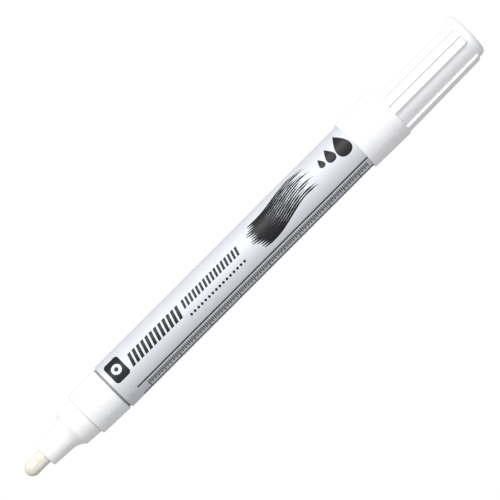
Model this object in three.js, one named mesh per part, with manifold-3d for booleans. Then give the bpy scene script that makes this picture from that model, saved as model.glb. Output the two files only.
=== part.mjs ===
// A valve-action permanent marker, posted: its cap is pushed onto the tail of its barrel.
// Millimetres. It lies along X with the nib towards -X, the printed side up (+Z), on the plane z = 0.
import * as THREE from "three";
import { mergeVertices } from "three/addons/utils/BufferGeometryUtils.js";
import Module from "manifold-3d";

const wasm = await Module();
wasm.setup();

// Facets of a turned piece: a multiple of 12, so that the three grip recesses are alike.
const FACETS = 48;
const SMALL_FACETS = 24;

// Walls, tapers, steps and gaps are measured on one side.

// Nib: a rod of pressed fibre with a bullet end.
const NIB_DIAMETER = 4.0;
const NIB_SHOWING = 6.2;
const NIB_TAIL_CHAMFER = 0.3;
const NIB_TAIL_TO_WEB = 0.8;
const NIB_TRAVEL = 2.0;

// Nib holder: snout, concave flare and shoulder, then a spigot inside the collar.
const SNOUT_LENGTH = 5.4;
const SNOUT_WALL = 1.1;
const SNOUT_TAPER = 0.3;
const SNOUT_EDGE_RADIUS = 0.35;
const FLARE_LENGTH = 3.65;
const SHOULDER_LENGTH = 4.55;
const SHOULDER_TAPER = 0.3;
const SHOULDER_STEP = 0.7;
const SPIGOT_STEP = 0.8;
const SPIGOT_LENGTH = 6.9;
const SPIGOT_BEAD_HEIGHT = 0.2;
const SPIGOT_BEAD_WIDTH = 1.0;
const SPIGOT_BEAD_BACK = 1.6;
const NIB_GUIDE_LENGTH = 11.0;
const FLUTE_WIDTH = 0.7;
const FLUTE_DEPTH = 0.5;
const FLUTE_PAIRS = 3;

// Front collar: the visible ring, a web behind the holder, and a plug in the barrel's mouth.
const COLLAR_LENGTH = 8.75;
const COLLAR_TAPER = 0.3;
const COLLAR_STEP = 0.1;
const COLLAR_CHAMFER = 0.4;
const COLLAR_WEB = 2.2;
const PLUG_LENGTH = 9.0;
const PLUG_WALL = 0.8;
const PLUG_RIB_HEIGHT = 0.2;
const PLUG_RIB_WIDTH = 1.2;
const PLUG_RIBS = 2;

// Gasket: the dark ring deep in the seam between the collar and the barrel's front rim.
const SEAM_WIDTH = 0.55;
const SEAM_DEPTH = 0.4;
const GASKET_WALL = 0.45;

// Barrel: a drawn aluminium tube, necked and closed at its tail.
const BARREL_DIAMETER = 13.0;
const BARREL_WALL = 0.4;
const BARREL_LENGTH = 91.8;
const BARREL_RIM_RADIUS = 0.15;
const NECK_END_RADIUS = 0.8;
const TAIL_WALL = 0.6;

// Valve: a soft seat, a mushroom stem, a coil spring and the windowed cage behind it.
const SEAT_THICKNESS = 2.0;
const SEAT_CONE_DEPTH = 0.8;
const STEM_DIAMETER = 3.0;
const STEM_HEAD_LAP = 0.7;
const STEM_HEAD_LENGTH = 1.2;
const GUIDE_PIN_DIAMETER = 2.4;
const WIRE_DIAMETER = 0.5;
const SPRING_LENGTH = 11.2;
const SPRING_TURNS = 6;
const CAGE_STEP = 0.3;
const CAGE_FLANGE_LENGTH = 1.5;
const CAGE_END_WALL = 1.0;
const WINDOW_WIDTH = 3.0;
const WINDOW_LENGTH = 8.0;
const WINDOW_PAIRS = 2;

// Mixing ball.
const BALL_DIAMETER = 6.5;

// Cap: mouth band, then a ribbed grip of three lands parted by three broad recesses.
const CAP_LENGTH = 38.2;
const BAND_WALL = 0.5;
const BAND_FLARE = 0.2;
const BAND_LIP_RADIUS = 0.4;
const BAND_EDGE_RADIUS = 0.3;
const BAND_BORE_DEPTH = 11.0;
const BORE_CONE_LENGTH = 0.6;
const BAND_PAST_CONE = 0.2;
const CAP_END_WALL = 1.1;
const CAP_END_RADIUS = 1.3;
const RECESS_WALL = 0.8;
const RECESS_TAPER = 0.29;
const LAND_HEIGHT = 0.62;
const LAND_TAPER = 0.34;
const LAND_END_BACK = 1.8;
const LAND_CHAMFER = 1.0;
const GRIP_SYMMETRY = 3;
const RECESS_FROM_DEG = -55;
const RECESS_TO_DEG = -14;
const STRIPS_PER_LAND = 4;
const STRIP_GROOVE_WIDTH = 0.35;
const STRIP_GROOVE_DEPTH = 0.3;

// Inner cap: a soft sleeve with a base flange pressed into the closed end of the cap.
const LINER_WALL = 0.95;
const LINER_BASE = 0.9;
const LINER_FLANGE_LENGTH = 4.5;
const LINER_TAPER = 0.35;
const LINER_LEAD_IN = 0.4;
const SNOUT_LAP = 0.1;

// Clearances between pieces.
const NIB_CLEARANCE = 0.12;
const NIB_CHAMBER_CLEARANCE = 1.2;
const WEB_HOLE_CLEARANCE = 0.6;
const SPIGOT_CLEARANCE = 0.15;
const SPIGOT_END_GAP = 0.3;
const PLUG_CLEARANCE = 0.1;
const SEAM_GAP = 0.05;
const PARTING_GAP = 0.1;
const VALVE_CLEARANCE = 0.1;
const STEM_CLEARANCE = 0.7;
const STEM_HEAD_CLEARANCE = 0.5;
const GUIDE_PIN_CLEARANCE = 0.3;
const SPRING_CLEARANCE = 0.6;
const CAP_CLEARANCE = 0.1;
const CAP_STOP_GAP = 0.3;
const SHOULDER_CLEARANCE = 0.15;
const NECK_CLEARANCE = 0.35;
const LINER_CLEARANCE = 0.1;
const SNOUT_CLEARANCE = 0.23;
const NECK_TO_LINER = 1.0;
const BALL_CLEARANCE = 0.1;

// Stations along the axis, from the nib's tip at rest.
const snoutFront = NIB_SHOWING;
const collarFront = snoutFront + SNOUT_LENGTH + FLARE_LENGTH + SHOULDER_LENGTH;
const collarRear = collarFront + COLLAR_LENGTH;
const barrelFront = collarRear + SEAM_WIDTH;
const webFront = collarFront + SPIGOT_LENGTH + SPIGOT_END_GAP;
const nibTail = webFront - NIB_TAIL_TO_WEB;
const webRear = webFront + COLLAR_WEB;
const seatFront = webRear + VALVE_CLEARANCE;
const cageFront = seatFront + SEAT_THICKNESS + VALVE_CLEARANCE;
const headRear = cageFront + STEM_HEAD_LENGTH;
const springFront = headRear + VALVE_CLEARANCE;
const cageWallFront = springFront + SPRING_LENGTH + VALVE_CLEARANCE;
const cageRear = cageWallFront + CAGE_END_WALL;
const barrelShoulder = barrelFront + BARREL_LENGTH;
const capMouth = barrelShoulder + CAP_STOP_GAP - BAND_BORE_DEPTH;
const overallLength = capMouth + CAP_LENGTH;

// Inside the cap, from its mouth: the liner's rim laps the snout's rear end when the nib is capped.
const bandLength = BAND_BORE_DEPTH + BORE_CONE_LENGTH + BAND_PAST_CONE;
const linerRim = BAND_BORE_DEPTH + SHOULDER_LENGTH + FLARE_LENGTH + SNOUT_LAP - CAP_STOP_GAP;
const linerLength = CAP_LENGTH - CAP_END_WALL - LINER_CLEARANCE - linerRim;
const neckEnd = linerRim - NECK_TO_LINER - BAND_BORE_DEPTH + CAP_STOP_GAP;

// Radii that follow from the nib.
const nibRadius = NIB_DIAMETER / 2;
const nibBoreRadius = nibRadius + NIB_CLEARANCE;
const snoutFrontRadius = nibBoreRadius + SNOUT_WALL;
const snoutRearRadius = snoutFrontRadius + SNOUT_TAPER;
const linerMouthRadius = snoutRearRadius + SNOUT_CLEARANCE;

// Radii that follow from the barrel: the collar and shoulder forwards, the plug and bore inwards.
const barrelRadius = BARREL_DIAMETER / 2;
const barrelBoreRadius = barrelRadius - BARREL_WALL;
const collarRearRadius = barrelRadius - COLLAR_STEP;
const collarFrontRadius = collarRearRadius - COLLAR_TAPER;
const shoulderRearRadius = collarFrontRadius - SHOULDER_STEP;
const shoulderFrontRadius = shoulderRearRadius - SHOULDER_TAPER;
const spigotRadius = shoulderRearRadius - SPIGOT_STEP;
const gasketRadius = collarRearRadius - SEAM_DEPTH;
const plugRadius = barrelBoreRadius - PLUG_CLEARANCE - PLUG_RIB_HEIGHT;
const plugBoreRadius = plugRadius - PLUG_WALL;

// Radii of the valve, from the stem and guide pin outwards and from the plug's bore inwards.
const seatHoleRadius = STEM_DIAMETER / 2 + STEM_CLEARANCE;
const stemHeadRadius = seatHoleRadius + STEM_HEAD_LAP;
const cageBoreRadius = stemHeadRadius + STEM_HEAD_CLEARANCE;
const cageFlangeRadius = plugBoreRadius - VALVE_CLEARANCE;
const guidePinRadius = GUIDE_PIN_DIAMETER / 2;

// Radii of the cap: its band runs on the barrel, its grip on the shoulder when the nib is capped.
const bandBoreRadius = barrelRadius + CAP_CLEARANCE;
const mouthRadius = bandBoreRadius + BAND_WALL;
const bandRadius = mouthRadius + BAND_FLARE;
const gripBoreRadius = shoulderRearRadius + SHOULDER_CLEARANCE;
const neckRadius = gripBoreRadius - NECK_CLEARANCE;
const boreSlope = (bandBoreRadius - gripBoreRadius) / BORE_CONE_LENGTH;

// The cap is stoutest at its band's rear edge, whose bottom facet rests on z = 0.
const axisHeight = bandRadius * Math.cos(Math.PI / FACETS);

// A quarter or other stretch of a circle as profile points, angles in degrees from the +x axis.
function arc(x, r, radius, fromDeg, toDeg, steps) {
  return Array.from({ length: steps + 1 }, (_, i) => {
    const a = THREE.MathUtils.degToRad(fromDeg + ((toDeg - fromDeg) * i) / steps);
    return [x + radius * Math.cos(a), r + radius * Math.sin(a)];
  });
}

// A solid turned about the X axis from [x, radius] points; a ring profile is closed on itself.
function turned(profile, facets = FACETS) {
  const onAxis = profile[0][1] === 0 && profile.at(-1)[1] === 0;
  const outline = onAxis ? [...profile] : [...profile, profile[0]];
  const area = outline.reduce((sum, [x, r], i) => {
    const [nx, nr] = outline[(i + 1) % outline.length];
    return sum + x * nr - nx * r;
  }, 0);
  if (area > 0) outline.reverse();
  const points = outline.map(([x, r]) => new THREE.Vector2(r, x));
  const half = Math.PI / facets;
  return new THREE.LatheGeometry(points, facets, half).rotateZ(-Math.PI / 2);
}

// A prism along X whose section is a list of [y, z] points.
function prism(section, from, to) {
  const shape = new THREE.Shape(section.map(([y, z]) => new THREE.Vector2(y, z)));
  const basis = new THREE.Matrix4().makeBasis(
    new THREE.Vector3(0, 1, 0),
    new THREE.Vector3(0, 0, 1),
    new THREE.Vector3(1, 0, 0),
  );
  return new THREE.ExtrudeGeometry(shape, { depth: to - from, bevelEnabled: false })
    .applyMatrix4(basis)
    .translate(from, 0, 0);
}

// A wedge about the axis between two angles, measured from straight up towards +Y.
function wedge(fromDeg, toDeg, reach, from, to) {
  const steps = Math.max(1, Math.ceil((toDeg - fromDeg) / 30));
  const rim = arc(0, 0, reach, 90 - fromDeg, 90 - toDeg, steps);
  return prism([[0, 0], ...rim], from, to);
}

// A slab through the axis, turned about it by an angle.
function slab(width, reach, angleDeg, from, to) {
  return new THREE.BoxGeometry(to - from, width, 2 * reach)
    .rotateX(THREE.MathUtils.degToRad(angleDeg))
    .translate((from + to) / 2, 0, 0);
}

// three.js geometry to a manifold solid, and back.
function solid(geometry) {
  const bare = geometry.clone();
  bare.deleteAttribute("normal");
  bare.deleteAttribute("uv");
  const merged = mergeVertices(bare, 1e-4);
  const index = Array.from(merged.index.array);
  const triVerts = [];
  for (let i = 0; i < index.length; i += 3) {
    const [a, b, c] = index.slice(i, i + 3);
    if (a !== b && b !== c && c !== a) triVerts.push(a, b, c);
  }
  return new wasm.Manifold(
    new wasm.Mesh({
      numProp: 3,
      vertProperties: merged.attributes.position.array,
      triVerts: new Uint32Array(triVerts),
    }),
  );
}

function surface(body) {
  const mesh = body.getMesh();
  const positions = new Float32Array(mesh.numVert * 3);
  for (let i = 0; i < mesh.numVert; i++) {
    const at = i * mesh.numProp;
    positions.set(mesh.vertProperties.subarray(at, at + 3), i * 3);
  }
  const indexed = new THREE.BufferGeometry()
    .setAttribute("position", new THREE.BufferAttribute(positions, 3))
    .setIndex(new THREE.BufferAttribute(new Uint32Array(mesh.triVerts), 1));
  const geometry = indexed.toNonIndexed();
  geometry.computeVertexNormals();
  return geometry;
}

function cut(geometry, tools) {
  return surface(tools.reduce((body, tool) => body.subtract(solid(tool)), solid(geometry)));
}

// Nib, from its tip: hemispherical end, plain rod, chamfered tail.
function nib() {
  const r = nibRadius;
  return turned(
    [
      ...arc(r, 0, r, 180, 90, 6).map(([x, y], i) => (i === 0 ? [0, 0] : [x, y])),
      [nibTail - NIB_TAIL_CHAMFER, r],
      [nibTail, r - NIB_TAIL_CHAMFER],
      [nibTail, 0],
    ],
    SMALL_FACETS,
  );
}

// Nib holder, from the snout's front face. Flutes beside the nib let ink forward and air back.
function nibHolder() {
  const edge = SNOUT_EDGE_RADIUS;
  const rise = shoulderFrontRadius - snoutRearRadius;
  const flareRadius = (FLARE_LENGTH ** 2 + rise ** 2) / (2 * rise);
  const sweep = THREE.MathUtils.radToDeg(Math.asin(FLARE_LENGTH / flareRadius));
  const shoulderEnd = collarFront - snoutFront - PARTING_GAP;
  const spigotEnd = collarFront - snoutFront + SPIGOT_LENGTH;
  const bead = spigotEnd - SPIGOT_BEAD_BACK;
  const chamber = nibRadius + NIB_CHAMBER_CLEARANCE;
  const body = turned([
    [0, nibBoreRadius],
    ...arc(edge, snoutFrontRadius - edge, edge, 180, 90, 3),
    ...arc(SNOUT_LENGTH, snoutRearRadius + flareRadius, flareRadius, 270, 270 + sweep, 6),
    [shoulderEnd, shoulderRearRadius],
    [shoulderEnd, spigotRadius],
    [bead - SPIGOT_BEAD_WIDTH / 2, spigotRadius],
    [bead, spigotRadius + SPIGOT_BEAD_HEIGHT],
    [bead + SPIGOT_BEAD_WIDTH / 2, spigotRadius],
    [spigotEnd, spigotRadius],
    [spigotEnd, chamber],
    [NIB_GUIDE_LENGTH, chamber],
    [NIB_GUIDE_LENGTH, nibBoreRadius],
  ]);
  const reach = nibBoreRadius + FLUTE_DEPTH;
  const flutes = Array.from({ length: FLUTE_PAIRS }, (_, i) =>
    slab(FLUTE_WIDTH, reach, (i * 180) / FLUTE_PAIRS, -1, NIB_GUIDE_LENGTH + 1),
  );
  return cut(body, flutes);
}

// Front collar, from its front face: snap groove for the holder, web, gasket groove, ribbed plug.
function frontCollar() {
  const front = collarFrontRadius;
  const bore = spigotRadius + SPIGOT_CLEARANCE;
  const groove = bore + SPIGOT_BEAD_HEIGHT;
  const bead = SPIGOT_LENGTH - SPIGOT_BEAD_BACK;
  const reach = SPIGOT_BEAD_WIDTH / 2 + SPIGOT_CLEARANCE;
  const land = gasketRadius - GASKET_WALL - SEAM_GAP;
  const webHole = nibRadius + WEB_HOLE_CLEARANCE;
  const plugFront = barrelFront - collarFront;
  const plugEnd = plugFront + PLUG_LENGTH;
  const pitch = PLUG_LENGTH / (PLUG_RIBS + 1);
  const ribs = Array.from({ length: PLUG_RIBS }, (_, i) => {
    const x = plugFront + pitch * (i + 1);
    return [
      [x - PLUG_RIB_WIDTH / 2, plugRadius],
      [x - PLUG_RIB_WIDTH / 4, plugRadius + PLUG_RIB_HEIGHT],
      [x + PLUG_RIB_WIDTH / 4, plugRadius + PLUG_RIB_HEIGHT],
      [x + PLUG_RIB_WIDTH / 2, plugRadius],
    ];
  }).flat();
  return turned([
    [0, bore],
    [0, front - COLLAR_CHAMFER],
    [COLLAR_CHAMFER, front],
    [COLLAR_LENGTH, collarRearRadius],
    [COLLAR_LENGTH, land],
    [plugFront, land],
    [plugFront, plugRadius],
    ...ribs,
    [plugEnd, plugRadius],
    [plugEnd, plugBoreRadius],
    [webRear - collarFront, plugBoreRadius],
    [webRear - collarFront, webHole],
    [webFront - collarFront, webHole],
    [webFront - collarFront, bore],
    [bead + reach, bore],
    [bead, groove],
    [bead - reach, bore],
  ]);
}

// Gasket, from its front face.
function barrelGasket() {
  const width = SEAM_WIDTH - 2 * SEAM_GAP;
  return turned([
    [0, gasketRadius - GASKET_WALL],
    [0, gasketRadius],
    [width, gasketRadius],
    [width, gasketRadius - GASKET_WALL],
  ]);
}

// Barrel, from its front rim: rolled rim, straight tube, conical shoulder, closed neck.
function barrelTube() {
  const rim = BARREL_RIM_RADIUS;
  const neck = neckRadius;
  const shoulder = (barrelRadius - neck) / boreSlope;
  const end = BARREL_LENGTH + neckEnd;
  const corner = NECK_END_RADIUS;
  return turned([
    [0, barrelBoreRadius],
    ...arc(rim, barrelRadius - rim, rim, 180, 90, 2),
    [BARREL_LENGTH, barrelRadius],
    [BARREL_LENGTH + shoulder, neck],
    ...arc(end - corner, neck - corner, corner, 90, 0, 4),
    [end, 0],
    [end - TAIL_WALL, 0],
    [end - TAIL_WALL, neck - corner],
    [end - corner, neck - BARREL_WALL],
    [BARREL_LENGTH + shoulder - BARREL_WALL / 2, neck - BARREL_WALL],
    [BARREL_LENGTH - BARREL_WALL / 2, barrelBoreRadius],
  ]);
}

// Valve seat, from its front face: a soft ring with a conical rear face.
function valveSeat() {
  return turned([
    [0, seatHoleRadius],
    [0, cageFlangeRadius],
    [SEAT_THICKNESS, cageFlangeRadius],
    [SEAT_THICKNESS, seatHoleRadius + SEAT_CONE_DEPTH],
    [SEAT_THICKNESS - SEAT_CONE_DEPTH, seatHoleRadius],
  ]);
}

// Valve stem, in stations of the whole marker: shank, mushroom head and guide pin.
function valveStem() {
  const shank = STEM_DIAMETER / 2;
  const coneFront = seatFront + SEAT_THICKNESS - SEAT_CONE_DEPTH + VALVE_CLEARANCE;
  const coneAt = (r) => coneFront + r - seatHoleRadius;
  const pinEnd = cageWallFront - NIB_TRAVEL;
  return turned(
    [
      [nibTail + PARTING_GAP, 0],
      [nibTail + PARTING_GAP, shank],
      [coneAt(shank), shank],
      [coneAt(stemHeadRadius), stemHeadRadius],
      [headRear, stemHeadRadius],
      [headRear, guidePinRadius],
      [pinEnd, guidePinRadius],
      [pinEnd, 0],
    ],
    SMALL_FACETS,
  );
}

// Spring: the wire leaves its seat straight along X, bends over, winds, and ends the same way.
// Its lean from the axis grows over the bend; the place follows by adding up short steps of wire.
function valveSpring() {
  const wire = WIRE_DIAMETER / 2;
  const radius = guidePinRadius + SPRING_CLEARANCE + wire;
  const bendSteps = 4;
  const bendLength = 2 * WIRE_DIAMETER;
  const stepsPerTurn = 8;
  const sides = 5;
  const turnStep = (2 * Math.PI * radius) / stepsPerTurn;
  const pitch = (SPRING_LENGTH - 2 * WIRE_DIAMETER - bendLength) / SPRING_TURNS;
  const lean = Math.atan2(2 * Math.PI * radius, pitch);
  const bend = Array.from({ length: bendSteps }, (_, i) => [
    bendLength / bendSteps,
    (lean * (i + 0.5)) / bendSteps,
  ]);
  const steps = [
    [WIRE_DIAMETER, 0],
    ...bend,
    ...Array.from({ length: SPRING_TURNS * stepsPerTurn }, () => [turnStep, lean]),
    ...bend.toReversed(),
    [WIRE_DIAMETER, 0],
  ];
  let x = 0;
  let turn = 0;
  let along = 0;
  const path = [{ x, turn, along, lean: 0 }];
  for (const [length, a] of steps) {
    x += length * Math.cos(a);
    turn += (length * Math.sin(a)) / radius;
    along += length;
    path.push({ x, turn, along, lean: a });
  }
  path.at(-1).lean = 0;
  const stretch = SPRING_LENGTH / x;
  const centres = path.map(
    (p) =>
      new THREE.Vector3(p.x * stretch, radius * Math.sin(p.turn), radius * Math.cos(p.turn)),
  );
  const positions = [];
  path.forEach((p, i) => {
    const out = new THREE.Vector3(0, Math.sin(p.turn), Math.cos(p.turn));
    const round = new THREE.Vector3(0, Math.cos(p.turn), -Math.sin(p.turn));
    const forward = new THREE.Vector3(Math.cos(p.lean), 0, 0);
    const across = forward.addScaledVector(round, Math.sin(p.lean)).cross(out);
    for (let k = 0; k < sides; k++) {
      const b = (2 * Math.PI * k) / sides;
      const point = centres[i]
        .clone()
        .addScaledVector(out, wire * Math.cos(b))
        .addScaledVector(across, wire * Math.sin(b));
      positions.push(...point.toArray());
    }
  });
  const index = [];
  for (let i = 0; i < path.length - 1; i++)
    for (let k = 0; k < sides; k++) {
      const a = i * sides + k;
      const b = i * sides + ((k + 1) % sides);
      index.push(a, b, a + sides, b, b + sides, a + sides);
    }
  const last = (path.length - 1) * sides;
  for (let k = 1; k < sides - 1; k++) {
    index.push(0, k + 1, k);
    index.push(last, last + k, last + k + 1);
  }
  // Points less than half a turn apart along the wire are the same stretch of it.
  let gap = Infinity;
  for (let i = 0; i < path.length; i++)
    for (let j = i + 1; j < path.length; j++)
      if (path[j].along - path[i].along > Math.PI * radius)
        gap = Math.min(gap, centres[i].distanceTo(centres[j]) - WIRE_DIAMETER);
  console.log("valve_spring: least gap to itself " + gap.toFixed(2) + " mm");
  return new THREE.BufferGeometry()
    .setAttribute("position", new THREE.Float32BufferAttribute(positions, 3))
    .setIndex(index);
}

// Valve cage, from its flange: a cup whose windows let ink through to the head.
function valveCage() {
  const outer = cageFlangeRadius - CAGE_STEP;
  const wall = cageWallFront - cageFront;
  const end = cageRear - cageFront;
  const hole = guidePinRadius + GUIDE_PIN_CLEARANCE;
  const body = turned([
    [0, cageBoreRadius],
    [0, cageFlangeRadius],
    [CAGE_FLANGE_LENGTH, cageFlangeRadius],
    [CAGE_FLANGE_LENGTH, outer],
    [end, outer],
    [end, hole],
    [wall, hole],
    [wall, cageBoreRadius],
  ]);
  const from = (CAGE_FLANGE_LENGTH + wall - WINDOW_LENGTH) / 2;
  const windows = Array.from({ length: WINDOW_PAIRS }, (_, i) =>
    slab(WINDOW_WIDTH, plugBoreRadius, (i * 180) / WINDOW_PAIRS, from, from + WINDOW_LENGTH),
  );
  return cut(body, windows);
}

// Mixing ball, about its own centre.
function mixingBall() {
  return new THREE.SphereGeometry(BALL_DIAMETER / 2, SMALL_FACETS, SMALL_FACETS / 2);
}

// Cap shell, from its mouth: a turned core, with the lands of the grip standing on it.
function capShell() {
  const band = bandRadius;
  const lip = BAND_LIP_RADIUS;
  const edge = BAND_EDGE_RADIUS;
  const bore = gripBoreRadius;
  const floor = bore + RECESS_WALL;
  const endFloor = floor - RECESS_TAPER;
  const end = CAP_END_RADIUS;
  const deep = CAP_LENGTH - CAP_END_WALL;
  const core = turned([
    [0, bandBoreRadius],
    ...arc(lip, mouthRadius - lip, lip, 180, 90, 3),
    ...arc(bandLength - edge, band - edge, edge, 90, 0, 2),
    [bandLength, floor],
    [CAP_LENGTH - LAND_END_BACK, endFloor],
    ...arc(CAP_LENGTH - end, endFloor - end, end, 90, 0, 4),
    [CAP_LENGTH, 0],
    [deep, 0],
    [deep, bore - end / 2],
    [deep - end / 2, bore],
    [BAND_BORE_DEPTH + BORE_CONE_LENGTH, bore],
    [BAND_BORE_DEPTH, bandBoreRadius],
  ]);
  const landFrom = bandLength - edge;
  const landTo = CAP_LENGTH - LAND_END_BACK;
  const top = floor + LAND_HEIGHT;
  const endTop = top - LAND_TAPER;
  const sunk = (bore + endFloor) / 2;
  const ring = turned([
    [landFrom, sunk],
    [landFrom, top],
    [landTo - LAND_CHAMFER, endTop],
    [landTo, endFloor - STRIP_GROOVE_DEPTH / 2],
    [landTo, sunk],
  ]);
  // Everything further out than the strip grooves' floors.
  const skin = turned([
    [bandLength, top - STRIP_GROOVE_DEPTH],
    [bandLength, band],
    [CAP_LENGTH, band],
    [CAP_LENGTH, endTop - STRIP_GROOVE_DEPTH],
  ]);
  const step = 360 / GRIP_SYMMETRY;
  const landSpan = step - (RECESS_TO_DEG - RECESS_FROM_DEG);
  const grooveDeg = THREE.MathUtils.radToDeg(STRIP_GROOVE_WIDTH / top);
  let lands = solid(ring);
  for (let i = 0; i < GRIP_SYMMETRY; i++) {
    const turn = i * step;
    const recess = wedge(RECESS_FROM_DEG + turn, RECESS_TO_DEG + turn, 2 * band, 0, CAP_LENGTH);
    lands = lands.subtract(solid(recess));
    for (let k = 1; k < STRIPS_PER_LAND; k++) {
      const at = RECESS_TO_DEG + turn + (landSpan * k) / STRIPS_PER_LAND;
      const line = wedge(at - grooveDeg / 2, at + grooveDeg / 2, 2 * band, 0, CAP_LENGTH);
      lands = lands.subtract(solid(line).intersect(solid(skin)));
    }
  }
  return surface(solid(core).add(lands));
}

// Inner cap, from its rim: a sleeve round the snout, on a flange that fits the cap's closed end.
function innerCap() {
  const mouth = linerMouthRadius;
  const flange = gripBoreRadius - LINER_CLEARANCE;
  const corner = CAP_END_RADIUS / 2;
  const sleeve = mouth + LINER_WALL;
  const floor = linerLength - LINER_BASE;
  return turned([
    [0, mouth + LINER_LEAD_IN],
    [0, sleeve],
    [linerLength - LINER_FLANGE_LENGTH, sleeve],
    [linerLength - LINER_FLANGE_LENGTH, flange],
    [linerLength - corner, flange],
    [linerLength, flange - corner],
    [linerLength, 0],
    [floor, 0],
    [floor, mouth - LINER_TAPER],
    [LINER_LEAD_IN, mouth],
  ]);
}

const whitePlastic = { color: 0xf7f7f5, roughness: 0.38, metalness: 0 };
const softPlastic = { color: 0xece9e0, roughness: 0.6, metalness: 0 };

// A named mesh at its station along the axis.
function piece(name, geometry, station, look) {
  const mesh = new THREE.Mesh(geometry, new THREE.MeshStandardMaterial(look));
  mesh.name = name;
  mesh.position.x = station;
  return mesh;
}

const front = new THREE.Group();
front.add(
  piece("nib", nib(), 0, { color: 0xf0ecdd, roughness: 0.95, metalness: 0 }),
  piece("nib_holder", nibHolder(), snoutFront, whitePlastic),
  piece("front_collar", frontCollar(), collarFront, whitePlastic),
  piece("barrel_gasket", barrelGasket(), collarRear + SEAM_GAP, {
    color: 0x3a3633,
    roughness: 0.8,
    metalness: 0,
  }),
);

const valve = new THREE.Group();
valve.add(
  piece("valve_seat", valveSeat(), seatFront, { color: 0x55524e, roughness: 0.8, metalness: 0 }),
  piece("valve_stem", valveStem(), 0, softPlastic),
  piece("valve_spring", valveSpring(), springFront, {
    color: 0xb8bcc0,
    roughness: 0.3,
    metalness: 1,
  }),
  piece("valve_cage", valveCage(), cageFront, softPlastic),
);

// The ball lies on the barrel's bottom facet, against the valve cage: its run goes back to the neck.
const ballStation = cageRear + BALL_DIAMETER / 2 + BALL_CLEARANCE;
const ball = piece("mixing_ball", mixingBall(), ballStation, {
  color: 0xaeb2b6,
  roughness: 0.2,
  metalness: 1,
});
const boreFlat = barrelBoreRadius * Math.cos(Math.PI / FACETS);
ball.position.z = BALL_DIAMETER / 2 + BALL_CLEARANCE - boreFlat;

const barrel = new THREE.Group();
barrel.add(
  piece("barrel_tube", barrelTube(), barrelFront, {
    color: 0xe4e8ec,
    roughness: 0.35,
    metalness: 0.4,
  }),
  ball,
);

const cap = new THREE.Group();
cap.position.x = capMouth;
cap.add(
  piece("cap_shell", capShell(), 0, whitePlastic),
  piece("inner_cap", innerCap(), linerRim, softPlastic),
);

const marker = new THREE.Group();
marker.position.set(-overallLength / 2, 0, axisHeight);
marker.add(front, valve, barrel, cap);

export default marker;
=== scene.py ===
import bmesh
import bpy
import numpy as np
from mathutils import Euler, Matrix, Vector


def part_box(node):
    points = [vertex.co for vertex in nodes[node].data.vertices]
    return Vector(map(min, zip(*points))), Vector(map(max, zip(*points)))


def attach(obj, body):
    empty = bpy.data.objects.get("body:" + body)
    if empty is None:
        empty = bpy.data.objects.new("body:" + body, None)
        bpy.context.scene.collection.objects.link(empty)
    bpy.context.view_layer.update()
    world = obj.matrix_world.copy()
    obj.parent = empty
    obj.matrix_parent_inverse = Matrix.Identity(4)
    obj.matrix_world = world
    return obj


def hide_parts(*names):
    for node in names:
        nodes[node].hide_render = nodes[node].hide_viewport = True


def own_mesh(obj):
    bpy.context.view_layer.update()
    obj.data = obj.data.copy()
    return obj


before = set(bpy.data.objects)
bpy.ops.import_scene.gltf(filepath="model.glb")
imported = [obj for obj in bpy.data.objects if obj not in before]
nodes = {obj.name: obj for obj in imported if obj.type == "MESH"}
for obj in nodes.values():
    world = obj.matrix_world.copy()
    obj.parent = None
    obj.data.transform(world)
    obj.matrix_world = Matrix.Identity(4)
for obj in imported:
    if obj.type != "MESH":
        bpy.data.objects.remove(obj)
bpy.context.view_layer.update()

MM = 0.001

# Barrel: a cup of thin aluminium, drawn to a straight tube, necked and closed at its tail, then
# lacquered a pale silver. Its front rim is rolled smooth and takes the collar's plug.
BARREL_WALL = 0.4 * MM
BARREL_RIM_RADIUS = 0.15 * MM
TAIL_WALL = 0.6 * MM
TAIL_CORNER = 0.8 * MM
TAIL_INNER_FILLET = 0.2 * MM
TAIL_TAPER_LENGTH = 0.6 * MM
TAIL_TAPER_FILLET = 0.3 * MM
NECK_RADIUS = 5.2 * MM
BAND_BORE_DEPTH = 11.0 * MM
CAP_STOP_GAP = 0.3 * MM
SIDES = 192
ARC_STEPS = 6
SHARP_ANGLE = np.radians(28)
WELD_DISTANCE = 1e-7
NOISE_DETAIL = 4
SHADE_BELOW = 0.35
TINT_ABOVE = 0.65

barrel_low, barrel_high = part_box("barrel_tube")
barrel_front, barrel_end = barrel_low.x, barrel_high.x
barrel_radius = (barrel_high.z - barrel_low.z) / 2
axis_z = (barrel_high.z + barrel_low.z) / 2
cap_low, cap_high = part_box("cap_shell")
cap_mouth, cap_end = cap_low.x, cap_high.x
barrel_shoulder = cap_mouth + BAND_BORE_DEPTH - CAP_STOP_GAP


def filleted(corners, steps=ARC_STEPS):
    """An outline from corners (x, r, fillet). A corner with a fillet becomes an arc touching both of
    its sides: its centre lies on the corner's bisector, fillet / sin(half angle) away, and the arc
    turns evenly from one touching point to the other."""
    places = np.array([corner[:2] for corner in corners], float)
    points = []
    for here, before, after, corner in zip(
        places, np.roll(places, 1, axis=0), np.roll(places, -1, axis=0), corners
    ):
        fillet = corner[2]
        if fillet == 0:
            points.append(here[None])
            continue
        to_before = (before - here) / np.linalg.norm(before - here)
        to_after = (after - here) / np.linalg.norm(after - here)
        half = np.arccos(np.clip(to_before @ to_after, -1, 1)) / 2
        bisector = (to_before + to_after) / np.linalg.norm(to_before + to_after)
        centre = here + bisector * fillet / np.sin(half)
        start = here + to_before * fillet / np.tan(half) - centre
        stop = here + to_after * fillet / np.tan(half) - centre
        sweep = np.pi - 2 * half
        share = np.linspace(0, 1, steps + 1)[:, None]
        arc = np.sin((1 - share) * sweep) * start + np.sin(share * sweep) * stop
        points.append(centre + arc / np.sin(sweep))
    return np.concatenate(points)


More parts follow.
